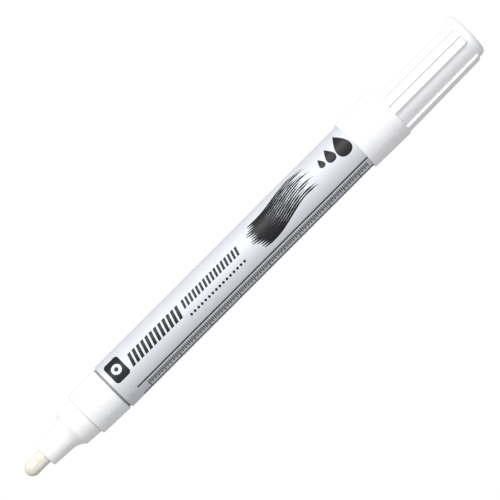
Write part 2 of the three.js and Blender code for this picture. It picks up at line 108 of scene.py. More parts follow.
def about_axis(x, r, turn):
    """Points at station x, a distance r from the marker's axis, turned from the top towards +Y."""
    x, r, turn = np.broadcast_arrays(x, r, turn)
    return np.stack([x, r * np.sin(turn), axis_z + r * np.cos(turn)], axis=-1)


def new_piece(name, points, faces, sharp=SHARP_ANGLE):
    """A mesh object from points and quads: points that fall together are merged, faces are turned
    outwards, and shading breaks only where two faces meet at more than the sharp angle."""
    mesh = bpy.data.meshes.new(name)
    mesh.from_pydata(points.reshape(-1, 3).tolist(), [], faces.tolist())
    shell = bmesh.new()
    shell.from_mesh(mesh)
    bmesh.ops.remove_doubles(shell, verts=shell.verts, dist=WELD_DISTANCE)
    bmesh.ops.recalc_face_normals(shell, faces=shell.faces)
    shell.to_mesh(mesh)
    shell.free()
    mesh.polygons.foreach_set("use_smooth", np.ones(len(mesh.polygons), bool))
    mesh.set_sharp_from_angle(angle=sharp)
    piece = bpy.data.objects.new(name, mesh)
    bpy.context.scene.collection.objects.link(piece)
    return piece


def quads(rows, columns, close_rows, close_columns):
    """Four neighbours in a grid of points make a face. A closed direction joins its end to its
    start."""
    index = np.arange(rows * columns).reshape(rows, columns)
    if close_rows:
        index = np.concatenate([index, index[:1]])
    if close_columns:
        index = np.concatenate([index, index[:, :1]], axis=1)
    corners = [index[:-1, :-1], index[1:, :-1], index[1:, 1:], index[:-1, 1:]]
    return np.stack(corners, axis=-1).reshape(-1, 4)


def turned(name, outline, turn=None, radius=None):
    """A turned solid: every outline point goes round the axis. radius, where given, holds each
    point's own distance from the axis at each turn, for flutes and lands. An outline that starts on
    the axis is closed by its two poles, and any other joins its last point to its first."""
    turn = np.linspace(0, 2 * np.pi, SIDES, endpoint=False) if turn is None else turn
    radius = outline[:, 1:] if radius is None else radius
    points = about_axis(outline[:, :1], radius, turn)
    ring = outline[0, 1] > 0
    return new_piece(name, points, quads(len(outline), len(turn), ring, True))


def finish(name, tint, shade, grain, roughness, metallic=0.0, relief=0.0, stretch=(1, 1, 1)):
    """A procedural finish. Fine noise on Object coordinates, stretched along the axes, blends two
    near tints and two roughnesses, and raises a relief of the given depth in metres."""
    material = bpy.data.materials.new(name)
    material.use_nodes = True
    tree = material.node_tree
    shader = tree.nodes["Principled BSDF"]
    shader.inputs["Metallic"].default_value = metallic
    place = tree.nodes.new("ShaderNodeTexCoord")
    mapping = tree.nodes.new("ShaderNodeMapping")
    mapping.inputs["Scale"].default_value = stretch
    noise = tree.nodes.new("ShaderNodeTexNoise")
    noise.inputs["Scale"].default_value = grain
    noise.inputs["Detail"].default_value = NOISE_DETAIL
    tints = tree.nodes.new("ShaderNodeValToRGB")
    tints.color_ramp.elements[0].position = SHADE_BELOW
    tints.color_ramp.elements[0].color = (*shade, 1)
    tints.color_ramp.elements[1].position = TINT_ABOVE
    tints.color_ramp.elements[1].color = (*tint, 1)
    gloss = tree.nodes.new("ShaderNodeMapRange")
    gloss.inputs["To Min"].default_value = roughness[0]
    gloss.inputs["To Max"].default_value = roughness[1]
    join = tree.links.new
    join(place.outputs["Object"], mapping.inputs["Vector"])
    join(mapping.outputs["Vector"], noise.inputs["Vector"])
    join(noise.outputs["Fac"], tints.inputs["Fac"])
    join(noise.outputs["Fac"], gloss.inputs["Value"])
    join(tints.outputs["Color"], shader.inputs["Base Color"])
    join(gloss.outputs["Result"], shader.inputs["Roughness"])
    if relief:
        bump = tree.nodes.new("ShaderNodeBump")
        bump.inputs["Strength"].default_value = 1.0
        bump.inputs["Distance"].default_value = relief
        join(noise.outputs["Fac"], bump.inputs["Height"])
        join(bump.outputs["Normal"], shader.inputs["Normal"])
    return material


barrel = turned(
    "barrel",
    filleted(
        [
            (barrel_front, barrel_radius - BARREL_WALL, 0),
            (barrel_front, barrel_radius, BARREL_RIM_RADIUS),
            (barrel_shoulder, barrel_radius, TAIL_TAPER_FILLET),
            (barrel_shoulder + TAIL_TAPER_LENGTH, NECK_RADIUS, TAIL_TAPER_FILLET),
            (barrel_end, NECK_RADIUS, TAIL_CORNER),
            (barrel_end, 0, 0),
            (barrel_end - TAIL_WALL, 0, 0),
            (barrel_end - TAIL_WALL, NECK_RADIUS - BARREL_WALL, TAIL_INNER_FILLET),
            (barrel_shoulder + TAIL_TAPER_LENGTH / 2, NECK_RADIUS - BARREL_WALL, 0),
            (barrel_shoulder - BARREL_WALL / 2, barrel_radius - BARREL_WALL, 0),
        ]
    ),
)
lacquer = finish(
    "pale_silver_lacquer",
    tint=(0.657, 0.68, 0.722),
    shade=(0.637, 0.66, 0.702),
    grain=900,
    roughness=(0.60, 0.66),
    metallic=0.2,
    stretch=(0.25, 1, 1),
)
barrel.data.materials.append(lacquer)
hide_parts("barrel_tube")
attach(barrel, "barrel")

# Printing: black ink laid on the lacquer in one pass as the barrel turns under the screen. It is a
# plain design of its own: two rules with a millimetre scale, a token, bars, dots, a brush stroke
# and three drops.
INK_PROUD = 0.015 * MM
INK_SUNK = 0.01 * MM
INK_STEP = 0.3 * MM
INK_SHARP_ANGLE = np.radians(40)
INK_GLOSS = 0.22
DOT_GRID = 9
STROKE_COLUMNS = 5
DROP_STEPS = 33
DROP_TIP = 0.04
DROP_FULLNESS = 1.6
TOKEN_TURNS = 64
TOKEN_STEPS = 160
TOKEN_RINGS = 9

ink_points = []
ink_faces = []


def print_film(along, around, ring=False):
    """One closed film of ink. along and around are grids of places on the flat print, in metres from
    the barrel's front rim and from its top line. They are wrapped round the barrel, an arc of length
    around at its radius, once at the ink's face and once just inside the lacquer, and both sheets
    are joined round their edge."""
    rows, columns = along.shape
    section_along = np.concatenate([along, along[:, ::-1]], axis=1)
    section_around = np.concatenate([around, around[:, ::-1]], axis=1)
    depth = np.where(np.arange(2 * columns) < columns, INK_PROUD, -INK_SUNK)
    points = about_axis(
        barrel_front + section_along, barrel_radius + depth, section_around / barrel_radius
    )
    faces = [quads(rows, 2 * columns, ring, True)]
    if not ring:
        near = np.arange(columns - 1)
        far = 2 * columns - 1 - near
        end = np.stack([near, near + 1, far - 1, far], axis=-1)
        faces += [end, end + (rows - 1) * 2 * columns]
    start = sum(len(points) for points in ink_points)
    ink_points.append(points.reshape(-1, 3))
    ink_faces.append(np.concatenate(faces) + start)


def bar(x, length, middle, width, slant=0.0):
    """A straight bar: a rectangle from station x, its middle line at an arc from the top, sheared
    along the axis by slant times its height above that line."""
    height = np.linspace(-width / 2, width / 2, 2 + int(width / INK_STEP))
    along = x + np.array([[0.0], [length]]) + slant * height
    print_film(along, np.broadcast_to(middle + height, along.shape))


def dot(x, middle, radius):
    """A round dot, from a square grid pressed to a disc: each side bulges as the other narrows."""
    side = np.linspace(-1, 1, DOT_GRID)
    u, v = np.meshgrid(side, side, indexing="ij")
    print_film(
        x + radius * u * np.sqrt(1 - v**2 / 2), middle + radius * v * np.sqrt(1 - u**2 / 2)
    )


def stroke(along, around, width):
    """A brush stroke: a centre line with a width at each point, laid off along the line's normal."""
    slope = np.stack([np.gradient(along), np.gradient(around)])
    slope /= np.linalg.norm(slope, axis=0)
    side = np.linspace(-0.5, 0.5, STROKE_COLUMNS) * width[:, None]
    print_film(along[:, None] - side * slope[1][:, None], around[:, None] + side * slope[0][:, None])


def drop(x, foot, height, width):
    """An ink drop with its point upwards: at a turn a from point to foot, its half width follows
    sin(a) times sin(a / 2) to the power of its fullness, and its height above the foot
    (1 + cos(a)) / 2."""
    a = np.linspace(DROP_TIP, np.pi - DROP_TIP, DROP_STEPS)
    bulge = np.sin(a) * np.sin(a / 2) ** DROP_FULLNESS
    around = foot + height * (1 + np.cos(a)) / 2
    stroke(np.full(DROP_STEPS, x), around, width * bulge / bulge.max())


def token(x, middle, length, height, corner, hole):
    """A solid rounded rectangle with a round hole. The corner circle's centre jumps from quarter to
    quarter as the turn grows, the path is respaced evenly by its own length, and the film spans from
    it to the hole's edge in the same direction."""
    turn = np.linspace(0, 2 * np.pi, TOKEN_TURNS + 1)[:-1] + np.pi / TOKEN_TURNS
    u = np.sign(np.cos(turn)) * (length / 2 - corner) + corner * np.cos(turn)
    v = np.sign(np.sin(turn)) * (height / 2 - corner) + corner * np.sin(turn)
    u, v = np.append(u, u[0]), np.append(v, v[0])
    path = np.append(0, np.cumsum(np.hypot(np.diff(u), np.diff(v))))
    even = np.linspace(0, path[-1], TOKEN_STEPS, endpoint=False)
    u, v = np.interp(even, path, u), np.interp(even, path, v)
    far = np.hypot(u, v)
    share = np.linspace(0, 1, TOKEN_RINGS)
    scale = (hole + np.outer(far - hole, share)) / far[:, None]
    print_film(x + u[:, None] * scale, middle + v[:, None] * scale, ring=True)


RULE_WIDTH = 0.4 * MM
RULE_ARC = -4.3 * MM
LOW_RULE_WIDTH = 0.64 * MM
LOW_RULE_ARC = -8.15 * MM
RULE_START = 4.2 * MM
RULE_END_BACK = 3.0 * MM
rule_length = barrel_shoulder - barrel_front - RULE_START - RULE_END_BACK
bar(RULE_START, rule_length, RULE_ARC, RULE_WIDTH)
bar(RULE_START, rule_length, LOW_RULE_ARC, LOW_RULE_WIDTH)

# The scale between the two rules: a tick each half millimetre, longer at each 1, 5 and 10.
SCALE_START = 6.8 * MM
SCALE_ARC = -5.2 * MM
TICKS = 147
TICK_PITCH = 0.5 * MM
TICK_WIDTH = 0.27 * MM
TICK_REACHES = {20: 2.5 * MM, 10: 2.1 * MM, 2: 1.7 * MM, 1: 1.2 * MM}
for tick in range(TICKS):
    reach = next(reach for every, reach in TICK_REACHES.items() if tick % every == 0)
    bar(SCALE_START + tick * TICK_PITCH, TICK_WIDTH, SCALE_ARC - reach / 2, reach)

# A token with a dot in its hole at the front.
TOKEN_PLACE = (3.6 * MM, 2.6 * MM)
TOKEN_LENGTH = 4.5 * MM
TOKEN_HEIGHT = 6.0 * MM
TOKEN_CORNER = 0.9 * MM
TOKEN_HOLE = 1.35 * MM
TOKEN_DOT = 0.55 * MM
token(*TOKEN_PLACE, TOKEN_LENGTH, TOKEN_HEIGHT, TOKEN_CORNER, TOKEN_HOLE)
dot(*TOKEN_PLACE, TOKEN_DOT)

# Two rows of slanted bars, broad ones and then fine ones over a row of dots.
BAR_SLANT = 0.3
BROAD_BARS = 12
BROAD_BAR_START = 7.4 * MM
BROAD_BAR_PITCH = 1.42 * MM
BROAD_BAR_LENGTH = 0.9 * MM
BROAD_BAR_ARC = 1.7 * MM
BROAD_BAR_HEIGHT = 3.3 * MM
FINE_BARS = 16
FINE_BAR_START = 25.4 * MM
FINE_BAR_PITCH = 1.18 * MM
FINE_BAR_LENGTH = 0.68 * MM
FINE_BAR_ARC = 2.25 * MM
FINE_BAR_HEIGHT = 2.2 * MM
DOT_ARC = -0.85 * MM
DOT_RADIUS = 0.34 * MM
for k in range(BROAD_BARS):
    place = BROAD_BAR_START + k * BROAD_BAR_PITCH
    bar(place, BROAD_BAR_LENGTH, BROAD_BAR_ARC, BROAD_BAR_HEIGHT, BAR_SLANT)
for k in range(FINE_BARS):
    place = FINE_BAR_START + k * FINE_BAR_PITCH
    bar(place, FINE_BAR_LENGTH, FINE_BAR_ARC, FINE_BAR_HEIGHT, BAR_SLANT)
    dot(place, DOT_ARC, DOT_RADIUS)

# A broad dry brush stroke: strands side by side, solid where the brush lands and thinning to streaks
# of uneven length where it lifts, all following one shallow wave. Each strand is a step further in
# phase than its neighbour, so that no two match.
STRANDS = 13
STRAND_PITCH = 0.56 * MM
STRAND_FILL = 0.985
STRAND_STEPS = 81
STROKE_ARC = 2.3 * MM
LANDING = 47.0 * MM
LANDING_SCATTER = 0.9 * MM
LANDING_PHASE = 2.4
LANDING_CURVE = 0.05 * MM
LIFT = 67.2 * MM
LIFT_SCATTER = 2.1 * MM
LIFT_PHASE = 1.9
LIFT_PHASE_START = 0.6
WAVE_START = 45.0 * MM
WAVE_LENGTH = 27.0 * MM
WAVE_HEIGHT = 1.1 * MM
WOBBLES = 3
WOBBLE_PHASE = 2.1
DRY_FROM = 0.3
DRY_LEAST = 0.35
DRY_WOBBLE = 0.55
END_TAPER = 8
END_MARGINS = (0.03, 0.01)
run = np.linspace(0, 1, STRAND_STEPS)
to_end = np.minimum(run + END_MARGINS[0], 1 + END_MARGINS[1] - run)
ends = np.minimum(1, END_TAPER * to_end)
for k in range(STRANDS):
    off_middle = k - (STRANDS - 1) / 2
    scatter = LANDING_SCATTER * np.sin(LANDING_PHASE * k) ** 2
    start = LANDING + scatter + LANDING_CURVE * off_middle**2
    stop = LIFT + LIFT_SCATTER * np.sin(LIFT_PHASE * k + LIFT_PHASE_START)
    strand = start + (stop - start) * run
    wave = WAVE_HEIGHT * np.sin(2 * np.pi * (strand - WAVE_START) / WAVE_LENGTH)
    wobble = 0.5 + 0.5 * np.sin(2 * np.pi * (WOBBLES + k % 3) * run + WOBBLE_PHASE * k)
    dryness = np.clip(run - DRY_FROM, 0, 1) * (DRY_LEAST + DRY_WOBBLE * wobble)
    width = STRAND_FILL * STRAND_PITCH * ends * (1 - dryness)
    stroke(strand, off_middle * STRAND_PITCH + STROKE_ARC - wave, width)

# Three drops of growing size run after the stroke.
DROP_PLACES = (72.2 * MM, 74.9 * MM, 78.6 * MM)
DROP_FEET = (1.6 * MM, 0.9 * MM, -0.4 * MM)
DROP_HEIGHTS = (2.6 * MM, 4.1 * MM, 6.6 * MM)
DROP_WIDTHS = (1.7 * MM, 2.7 * MM, 4.2 * MM)
for place, foot, height, width in zip(DROP_PLACES, DROP_FEET, DROP_HEIGHTS, DROP_WIDTHS):
    drop(place, foot, height, width)

barrel_print = new_piece(
    "barrel_print", np.concatenate(ink_points), np.concatenate(ink_faces), INK_SHARP_ANGLE
)
ink = finish(
    "black_screen_ink",
    tint=(0.014, 0.014, 0.016),
    shade=(0.008, 0.008, 0.01),
    grain=2500,
    roughness=(0.42, 0.52),
)
ink.node_tree.nodes["Principled BSDF"].inputs["Specular IOR Level"].default_value = INK_GLOSS
barrel_print.data.materials.append(ink)
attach(barrel_print, "barrel")

# Mixing ball: a plain steel ball, ground and polished, loose in the barrel. It rolls to and fro when
# the marker is shaken, and stirs the pigment into the ink.
ball_low, ball_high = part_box("mixing_ball")
ball_x = (ball_low.x + ball_high.x) / 2
ball_z = (ball_low.z + ball_high.z) / 2
ball_radius = (ball_high.x - ball_low.x) / 2
BALL_RINGS = 48

lean = np.linspace(0, np.pi, BALL_RINGS + 1)[:, None]
turn = np.linspace(0, 2 * np.pi, 2 * BALL_RINGS, endpoint=False)
ball_points = about_axis(ball_x - ball_radius * np.cos(lean), ball_radius * np.sin(lean), turn)
ball_points[..., 2] += ball_z - axis_z
mixing_ball = new_piece("ball", ball_points, quads(*ball_points.shape[:2], False, True))
mixing_ball.data.materials.append(
    finish(
        "ground_ball_steel",
        tint=(0.62, 0.63, 0.64),
        shade=(0.56, 0.57, 0.58),
        grain=1500,
        roughness=(0.14, 0.22),
        metallic=1.0,
    )
)
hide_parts("mixing_ball")
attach(mixing_ball, "ball")

# Valve cage: a moulded cup of natural polyethylene, with four windows for the ink. The collar's plug
# holds it by its flange.
natural_plastic = finish(
    "natural_polyethylene",
    tint=(0.86, 0.85, 0.79),
    shade=(0.80, 0.79, 0.73),
    grain=700,
    roughness=(0.48, 0.58),
)
nodes["valve_cage"].data.materials.clear()
nodes["valve_cage"].data.materials.append(natural_plastic)

# Valve spring: stainless wire, coiled, its ends straight where they sit. It shortens towards the
# cage as the nib is pressed in.
WIRE_RADIUS = 0.25 * MM
WIRE_SIDES = 12
COIL_RADIUS = 2.05 * MM
COIL_TURNS = 6
COIL_STEPS = 240
BEND_STEPS = 12
WIRE_SHARP_ANGLE = np.radians(50)

spring_low, spring_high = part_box("valve_spring")
spring_length = spring_high.x - spring_low.x


def wire_spring(name):
    """A coil of round wire. The wire's lean from the axis grows evenly over a bend two wires long,
    holds through the coil and falls off again. Each short step of wire moves the place by its length
    times cos(lean) along the axis, and turns it by its length times sin(lean) over the coil's radius.
    The section is a circle across the wire."""
    wire = 2 * WIRE_RADIUS
    pitch = (spring_length - 4 * wire) / COIL_TURNS
    full = np.arctan2(2 * np.pi * COIL_RADIUS, pitch)
    grow = full * (np.arange(BEND_STEPS) + 0.5) / BEND_STEPS
    coil = np.full(COIL_STEPS, full)
    lean = np.concatenate([[0], grow, coil, grow[::-1], [0]])
    length = np.concatenate(
        [
            [wire],
            np.full(BEND_STEPS, 2 * wire / BEND_STEPS),
            np.full(COIL_STEPS, 2 * np.pi * COIL_RADIUS * COIL_TURNS / COIL_STEPS),
            np.full(BEND_STEPS, 2 * wire / BEND_STEPS),
            [wire],
        ]
    )
    x = np.append(0, np.cumsum(length * np.cos(lean)))
    turn = np.append(0, np.cumsum(length * np.sin(lean)) / COIL_RADIUS)[:, None]
    lean = np.append(0, lean)[:, None]
    lean[-1] = 0
    b = np.linspace(0, 2 * np.pi, WIRE_SIDES, endpoint=False)
    outward, sideways = WIRE_RADIUS * np.cos(b), WIRE_RADIUS * np.sin(b)
    station = spring_low.x + x[:, None] * spring_length / x[-1] + sideways * np.sin(lean)
    around = sideways * np.cos(lean)
    points = np.stack(
        [
            station,
            (COIL_RADIUS + outward) * np.sin(turn) - around * np.cos(turn),
            axis_z + (COIL_RADIUS + outward) * np.cos(turn) + around * np.sin(turn),
        ],
        axis=-1,
    )
    ends = np.stack([points[0].mean(axis=0), points[-1].mean(axis=0)])
    rows = np.concatenate(
        [
            np.broadcast_to(ends[0], (1, WIRE_SIDES, 3)),
            points,
            np.broadcast_to(ends[1], (1, WIRE_SIDES, 3)),
        ]
    )
    faces = quads(len(rows), WIRE_SIDES, False, True)
    return new_piece(name, rows, faces, WIRE_SHARP_ANGLE)


spring = wire_spring("spring_coil")
spring.data.materials.append(
    finish(
        "drawn_spring_wire",
        tint=(0.66, 0.67, 0.68),
        shade=(0.58, 0.59, 0.60),
        grain=2600,
        roughness=(0.22, 0.32),
        metallic=1.0,
    )
)
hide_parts("valve_spring")
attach(spring, "barrel")
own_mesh(spring)

# Valve stem: a natural polyethylene mushroom. Its shank stands behind the nib, its cone closes the
# seat, and its pin guides the spring.
STEM_SHANK = 1.5 * MM
STEM_HEAD_LENGTH = 1.3 * MM
STEM_PIN = 1.2 * MM
STEM_FOOT_FILLET = 0.2 * MM
STEM_CONE_FILLET = 0.3 * MM
STEM_HEAD_FILLETS = (0.1 * MM, 0.25 * MM)
STEM_PIN_FILLETS = (0.1 * MM, 0.3 * MM)
SPRING_GAP = 0.1 * MM

stem_low, stem_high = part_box("valve_stem")
stem_head = (stem_high.z - stem_low.z) / 2
head_rear = spring_low.x - SPRING_GAP
cone_rear = head_rear - STEM_HEAD_LENGTH
stem = turned(
    "stem",
    filleted(
        [
            (stem_low.x, 0, 0),
            (stem_low.x, STEM_SHANK, STEM_FOOT_FILLET),
            (cone_rear - (stem_head - STEM_SHANK), STEM_SHANK, STEM_CONE_FILLET),
            (cone_rear, stem_head, STEM_HEAD_FILLETS[0]),
            (head_rear, stem_head, STEM_HEAD_FILLETS[1]),
            (head_rear, STEM_PIN, STEM_PIN_FILLETS[0]),
            (stem_high.x, STEM_PIN, STEM_PIN_FILLETS[1]),
            (stem_high.x, 0, 0),
        ]
    ),
)
stem.data.materials.append(natural_plastic)
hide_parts("valve_stem")
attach(stem, "nib_and_stem")

# Valve seat: a moulded ring of soft grey rubber, gripped between the collar's web and the cage. The
# stem's head closes on the cone in its rear face.
SEAT_CONE = 0.8 * MM
SEAT_HOLE = 2.2 * MM
SEAT_HOLE_FILLET = 0.1 * MM
SEAT_RIM_FILLET = 0.15 * MM

seat_low, seat_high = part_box("valve_seat")
seat_radius = (seat_high.z - seat_low.z) / 2
valve_seat = turned(
    "seat_ring",
    filleted(
        [
            (seat_low.x, SEAT_HOLE, SEAT_HOLE_FILLET),
            (seat_low.x, seat_radius, SEAT_RIM_FILLET),
            (seat_high.x, seat_radius, SEAT_RIM_FILLET),
            (seat_high.x, SEAT_HOLE + SEAT_CONE, SEAT_HOLE_FILLET),
            (seat_high.x - SEAT_CONE, SEAT_HOLE, SEAT_HOLE_FILLET),
        ]
    ),
)
valve_seat.data.materials.append(
    finish(
        "grey_seat_rubber",
        tint=(0.085, 0.082, 0.078),
        shade=(0.06, 0.058, 0.055),
        grain=1800,
        roughness=(0.62, 0.75),
        relief=0.01 * MM,
    )
)
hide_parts("valve_seat")
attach(valve_seat, "barrel")

# Front collar: a white polypropylene ring that continues the barrel's line. A groove in its bore
# holds the nib holder, its web backs the valve seat, and its ribbed plug is pressed into the
# barrel's mouth.
COLLAR_LENGTH = 8.75 * MM
COLLAR_TAPER = 0.3 * MM
COLLAR_FRONT_FILLET = 0.3 * MM
COLLAR_REAR_FILLET = 0.12 * MM
COLLAR_BORE = 4.75 * MM
SNAP_GROOVE = 0.2 * MM
SNAP_GROOVE_BACK = 5.3 * MM
SNAP_GROOVE_HALF = 0.65 * MM
SNAP_GROOVE_FILLET = 0.2 * MM
GASKET_LAND = 5.5 * MM
PLUG_RADIUS = 5.8 * MM
PLUG_RIB = 0.2 * MM
PLUG_RIB_WIDTH = 1.2 * MM
PLUG_RIB_PLACES = (1 / 3, 2 / 3)
PLUG_RIB_SHAPE = ((-0.5, 0), (-0.25, 1), (0.25, 1), (0.5, 0))
PLUG_BORE = 5.0 * MM
PLUG_END_FILLET = 0.2 * MM
WEB_HOLE = 2.6 * MM
WEB_LENGTH = 2.2 * MM
WEB_FILLET = 0.15 * MM
SEAT_GAP = 0.1 * MM

collar_low, collar_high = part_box("front_collar")
collar_front, plug_end = collar_low.x, collar_high.x
collar_rear = collar_front + COLLAR_LENGTH
collar_radius = (collar_high.z - collar_low.z) / 2
web_rear = seat_low.x - SEAT_GAP
plug_length = plug_end - barrel_front
snap_groove = collar_front + SNAP_GROOVE_BACK
rib_corners = [
    (barrel_front + plug_length * share + offset * PLUG_RIB_WIDTH, PLUG_RADIUS + rise * PLUG_RIB, 0)
    for share in PLUG_RIB_PLACES
    for offset, rise in PLUG_RIB_SHAPE
]
collar = turned(
    "collar",
    filleted(
        [
            (collar_front, COLLAR_BORE, 0),
            (collar_front, collar_radius - COLLAR_TAPER, COLLAR_FRONT_FILLET),
            (collar_rear, collar_radius, COLLAR_REAR_FILLET),
            (collar_rear, GASKET_LAND, 0),
            (barrel_front, GASKET_LAND, 0),
            (barrel_front, PLUG_RADIUS, 0),
            *rib_corners,
            (plug_end, PLUG_RADIUS, PLUG_END_FILLET),
            (plug_end, PLUG_BORE, PLUG_END_FILLET),
            (web_rear, PLUG_BORE, 0),
            (web_rear, WEB_HOLE, WEB_FILLET),
            (web_rear - WEB_LENGTH, WEB_HOLE, WEB_FILLET),
            (web_rear - WEB_LENGTH, COLLAR_BORE, 0),
            (snap_groove + SNAP_GROOVE_HALF, COLLAR_BORE, 0),
            (snap_groove, COLLAR_BORE + SNAP_GROOVE, SNAP_GROOVE_FILLET),
            (snap_groove - SNAP_GROOVE_HALF, COLLAR_BORE, 0),
        ]
    ),
)
collar_plastic = finish(
    "white_polypropylene",
    tint=(0.862, 0.876, 0.894),
    shade=(0.838, 0.852, 0.869),
    grain=500,
    roughness=(0.32, 0.40),
)
collar.data.materials.append(collar_plastic)
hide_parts("front_collar")
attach(collar, "barrel")

# Gasket: a moulded ring of dark rubber. It sits on the collar's land, and shows as a dark line deep in
# the seam between the collar and the barrel's rim.
GASKET_WALL = 0.45 * MM
GASKET_ROUND = 0.1 * MM

gasket_low, gasket_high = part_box("barrel_gasket")
gasket_radius = (gasket_high.z - gasket_low.z) / 2
gasket = turned(
    "gasket",
    filleted(
        [
            (gasket_low.x, gasket_radius - GASKET_WALL, 0),
            (gasket_low.x, gasket_radius, GASKET_ROUND),
            (gasket_high.x, gasket_radius, GASKET_ROUND),
            (gasket_high.x, gasket_radius - GASKET_WALL, 0),
        ]
    ),
)
gasket.data.materials.append(
    finish(
        "dark_gasket_rubber",
        tint=(0.33, 0.32, 0.305),
        shade=(0.29, 0.28, 0.265),
        grain=1800,
        roughness=(0.6, 0.72),
        relief=0.008 * MM,
    )
)
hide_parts("barrel_gasket")
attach(gasket, "barrel")

# Nib holder: one white polypropylene moulding, with the snout, a hollow flare and the shoulder that
# shows, and a beaded spigot that snaps into the collar. Six flutes beside the nib let air back.
SNOUT_LENGTH = 5.4 * MM
SNOUT_FRONT_RADIUS = 3.22 * MM
SNOUT_REAR_RADIUS = 3.52 * MM
SNOUT_EDGE = 0.35 * MM
FLARE_LENGTH = 3.65 * MM
FLARE_STEPS = 14
SHOULDER_FRONT_RADIUS = 5.1 * MM
SHOULDER_REAR_RADIUS = 5.4 * MM
SHOULDER_FILLET = 0.12 * MM
SPIGOT_RADIUS = 4.6 * MM
SPIGOT_FILLET = 0.2 * MM
SPIGOT_BEAD = 0.2 * MM
BEAD_BACK = 1.6 * MM
BEAD_HALF = 0.5 * MM
BEAD_FILLET = 0.2 * MM
NIB_BORE = 2.12 * MM
NIB_CHAMBER = 3.2 * MM
GUIDE_LENGTH = 11.0 * MM
FLUTE_WIDTH = 0.7 * MM
FLUTE_DEPTH = 0.5 * MM
FLUTE_FLANK = 1.15
FLUTES = 6
ROUNDING = 1e-6
PARTING_GAP = 0.07 * MM

holder_low, holder_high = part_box("nib_holder")
snout_front, spigot_end = holder_low.x, holder_high.x
flare_rise = SHOULDER_FRONT_RADIUS - SNOUT_REAR_RADIUS
flare_radius = (FLARE_LENGTH**2 + flare_rise**2) / (2 * flare_rise)
flare = np.arcsin(FLARE_LENGTH / flare_radius) * np.linspace(0, 1, FLARE_STEPS + 1)
flare_corners = [
    (
        snout_front + SNOUT_LENGTH + flare_radius * np.sin(a),
        SNOUT_REAR_RADIUS + flare_radius * (1 - np.cos(a)),
        0,
    )
    for a in flare[:-1]
]
bead_x = spigot_end - BEAD_BACK
holder_outline = filleted(
    [
        (snout_front, NIB_BORE, 0),
        (snout_front, SNOUT_FRONT_RADIUS, SNOUT_EDGE),
        *flare_corners,
        (snout_front + SNOUT_LENGTH + FLARE_LENGTH, SHOULDER_FRONT_RADIUS, SHOULDER_FILLET),
        (collar_front - PARTING_GAP, SHOULDER_REAR_RADIUS, SHOULDER_FILLET),
        (collar_front - PARTING_GAP, SPIGOT_RADIUS, 0),
        (bead_x - BEAD_HALF, SPIGOT_RADIUS, 0),
        (bead_x, SPIGOT_RADIUS + SPIGOT_BEAD, BEAD_FILLET),
        (bead_x + BEAD_HALF, SPIGOT_RADIUS, 0),
        (spigot_end, SPIGOT_RADIUS, SPIGOT_FILLET),
        (spigot_end, NIB_CHAMBER, 0),
        (snout_front + GUIDE_LENGTH, NIB_CHAMBER, 0),
        (snout_front + GUIDE_LENGTH, NIB_BORE, 0),
    ]
)
flute_half = FLUTE_WIDTH / 2 / NIB_BORE
flute_pitch = 2 * np.pi / FLUTES
knots = flute_half * np.array([-FLUTE_FLANK, -1, 1, FLUTE_FLANK])
holder_turn = np.unique(
    np.concatenate(
        [
            np.linspace(0, 2 * np.pi, SIDES, endpoint=False),
            (flute_pitch * np.arange(FLUTES)[:, None] + knots).ravel() % (2 * np.pi),
        ]
    )
)
off_flute = (holder_turn + flute_pitch / 2) % flute_pitch - flute_pitch / 2
in_flute = np.interp(off_flute, knots, [0, 1, 1, 0])
is_narrow = holder_outline[:, 1] <= NIB_BORE + ROUNDING
in_bore = is_narrow & (holder_outline[:, 0] <= snout_front + GUIDE_LENGTH + ROUNDING)
holder = turned(
    "holder",
    holder_outline,
    turn=holder_turn,
    radius=holder_outline[:, 1:] + FLUTE_DEPTH * np.outer(in_bore, in_flute),
)
holder_plastic = finish(
    "white_holder_polypropylene",
    tint=(0.90, 0.90, 0.895),
    shade=(0.875, 0.875, 0.87),
    grain=500,
    roughness=(0.30, 0.38),
)
holder.data.materials.append(holder_plastic)
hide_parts("nib_holder")
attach(holder, "barrel")

# Nib: a rod of polyester fibre, pressed hard and ground to a bullet end, dry and cream coloured. It
# slides in the holder and pushes the valve open.
NIB_TAIL_CHAMFER = 0.3 * MM
NIB_ARC_STEPS = 16

nib_low, nib_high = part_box("nib")
nib_radius = (nib_high.z - nib_low.z) / 2
bullet = np.linspace(0, np.pi / 2, NIB_ARC_STEPS + 1)
nib_outline = np.concatenate(
    [
        np.stack(
            [nib_low.x + nib_radius * (1 - np.cos(bullet)), nib_radius * np.sin(bullet)], axis=-1
        ),
        [
            (nib_high.x - NIB_TAIL_CHAMFER, nib_radius),
            (nib_high.x, nib_radius - NIB_TAIL_CHAMFER),
            (nib_high.x, 0),
        ],
    ]
)
nib = turned("nib_rod", nib_outline)
nib.data.materials.append(
    finish(
        "cream_nib_fibre",
        tint=(0.845, 0.81, 0.73),
        shade=(0.69, 0.64, 0.53),
        grain=1500,
        roughness=(0.82, 0.95),
        relief=0.012 * MM,
        stretch=(0.3, 1, 1),
    )
)
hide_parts("nib")
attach(nib, "nib_and_stem")

